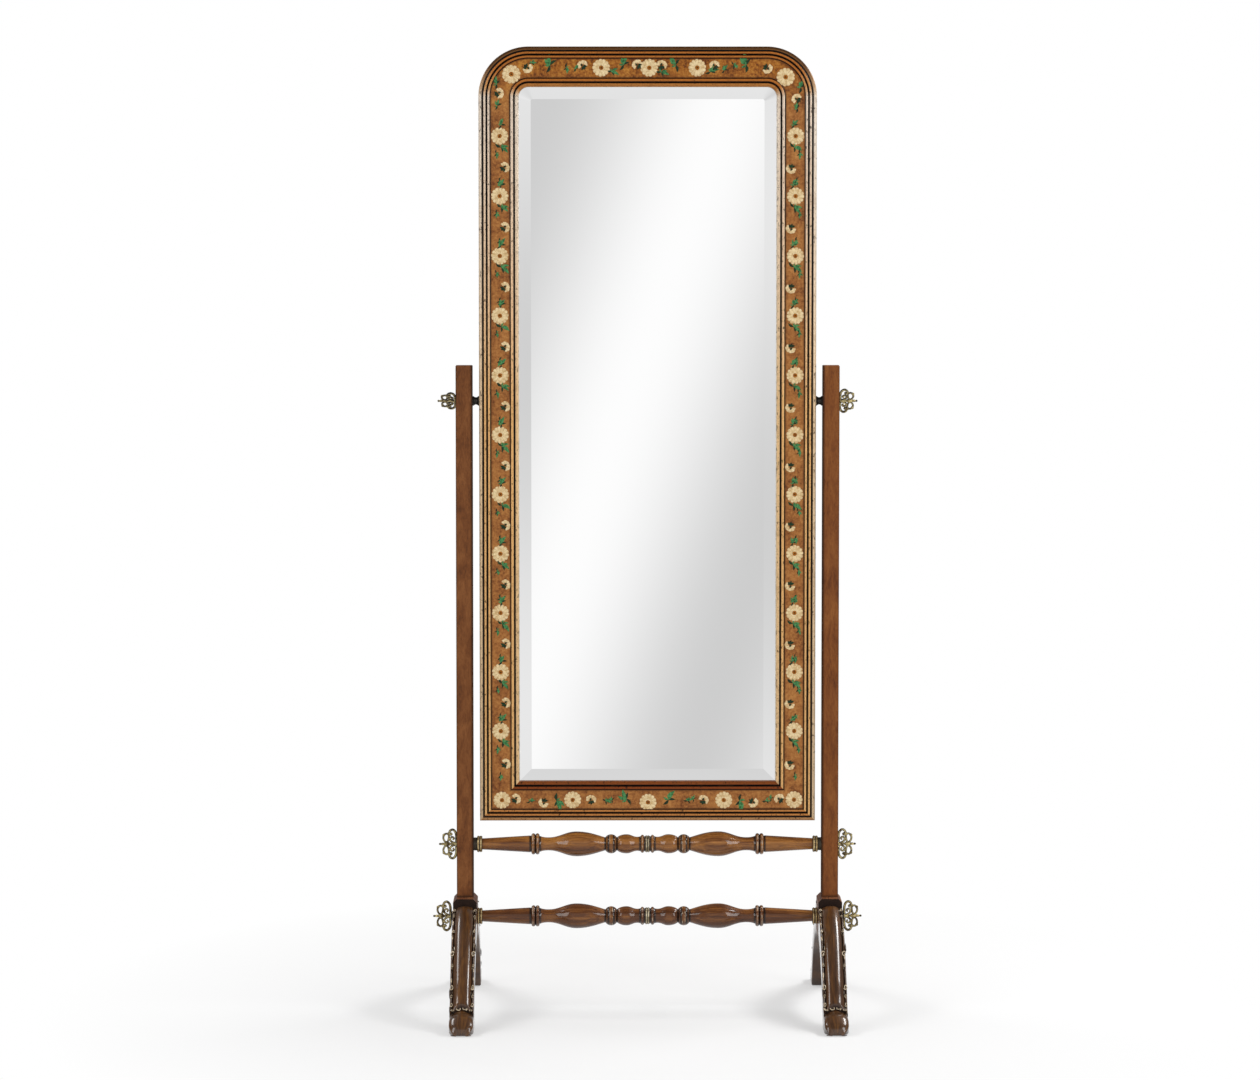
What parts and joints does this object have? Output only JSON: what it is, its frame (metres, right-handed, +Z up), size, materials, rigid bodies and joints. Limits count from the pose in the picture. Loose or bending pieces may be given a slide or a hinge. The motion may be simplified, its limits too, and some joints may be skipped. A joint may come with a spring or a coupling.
{
  "type": "cheval mirror",
  "caption": "Full-length tilting mirror in a painted round-shouldered frame, hung on thumbscrews between square posts with turned stretchers and arched carved feet.",
  "frame": {"origin": "on the floor, midway between the posts and midway between the toes", "axes": "+X to the right as seen from the front, +Y to the back, +Z up"},
  "size_m": [0.852, 0.66, 1.9],
  "materials": {
    "stand_wood": "waxed brown hardwood with a satin sheen, darker in recesses",
    "painted_frame": "painted and lacquered border in mottled gold brown between antiqued gilt mouldings",
    "antique_brass": "antique brass, bright on the edges and nearly black in the recesses",
    "dark_brass": "dark patinated brass",
    "steel": "plain zinc-plated steel",
    "joint_wood": "bare beech",
    "mirror": "silvered plate glass with a wide bevel",
    "felt": "thin felt",
    "board": "stained backing board",
    "glide": "dark nylon"
  },
  "bodies": {
    "stand": {"finial_washers": "antique_brass", "foot_glides": "glide", "left_foot_block": "stand_wood", "left_front_leg": "stand_wood", "left_lower_collar": "antique_brass", "left_lower_finial": "antique_brass", "left_pivot_bush": "dark_brass", "left_post": "stand_wood", "left_rear_leg": "stand_wood", "left_upper_collar": "antique_brass", "left_upper_finial": "antique_brass", "leg_dowels": "joint_wood", "lower_ferrule": "antique_brass", "lower_stretcher_dowel": "joint_wood", "lower_stretcher_left": "stand_wood", "lower_stretcher_right": "stand_wood", "lower_tie_studs": "steel", "right_foot_block": "stand_wood", "right_front_leg": "stand_wood", "right_lower_collar": "antique_brass", "right_lower_finial": "antique_brass", "right_pivot_bush": "dark_brass", "right_post": "stand_wood", "right_rear_leg": "stand_wood", "right_upper_collar": "antique_brass", "right_upper_finial": "antique_brass", "upper_ferrule": "antique_brass", "upper_stretcher_dowel": "joint_wood", "upper_stretcher_left": "stand_wood", "upper_stretcher_right": "stand_wood", "upper_tie_studs": "steel"},
    "mirror": {"left_stile": "painted_frame", "right_stile": "painted_frame", "left_corner": "painted_frame", "right_corner": "painted_frame", "top_rail": "painted_frame", "bottom_rail": "painted_frame", "frame_dowels": "joint_wood", "mitre_splines": "joint_wood", "mirror_glass": "mirror", "backing_felt": "felt", "backing_board": "board", "board_screws": "steel", "left_pivot_plate": "dark_brass", "right_pivot_plate": "dark_brass", "pivot_plate_screws": "steel", "left_pivot_spool": "dark_brass", "right_pivot_spool": "dark_brass"},
    "left_thumbscrew": {"left_thumbscrew_head": "antique_brass", "left_pivot_screw": "steel"},
    "right_thumbscrew": {"right_thumbscrew_head": "antique_brass", "right_pivot_screw": "steel"}
  },
  "joints": [
    {"name": "mirror_tilt", "type": "hinge", "parent": "stand", "child": "mirror", "pos_m": [0, 0, 1.206], "axis": [1, 0, 0], "continuous": true},
    {"name": "left_thumbscrew_turn", "type": "hinge", "parent": "stand", "child": "left_thumbscrew", "pos_m": [-0.378, 0, 1.206], "axis": [-1, 0, 0], "range_deg": [0, 270]},
    {"name": "right_thumbscrew_turn", "type": "hinge", "parent": "stand", "child": "right_thumbscrew", "pos_m": [0.378, 0, 1.206], "axis": [1, 0, 0], "range_deg": [0, 270]}
  ]
}
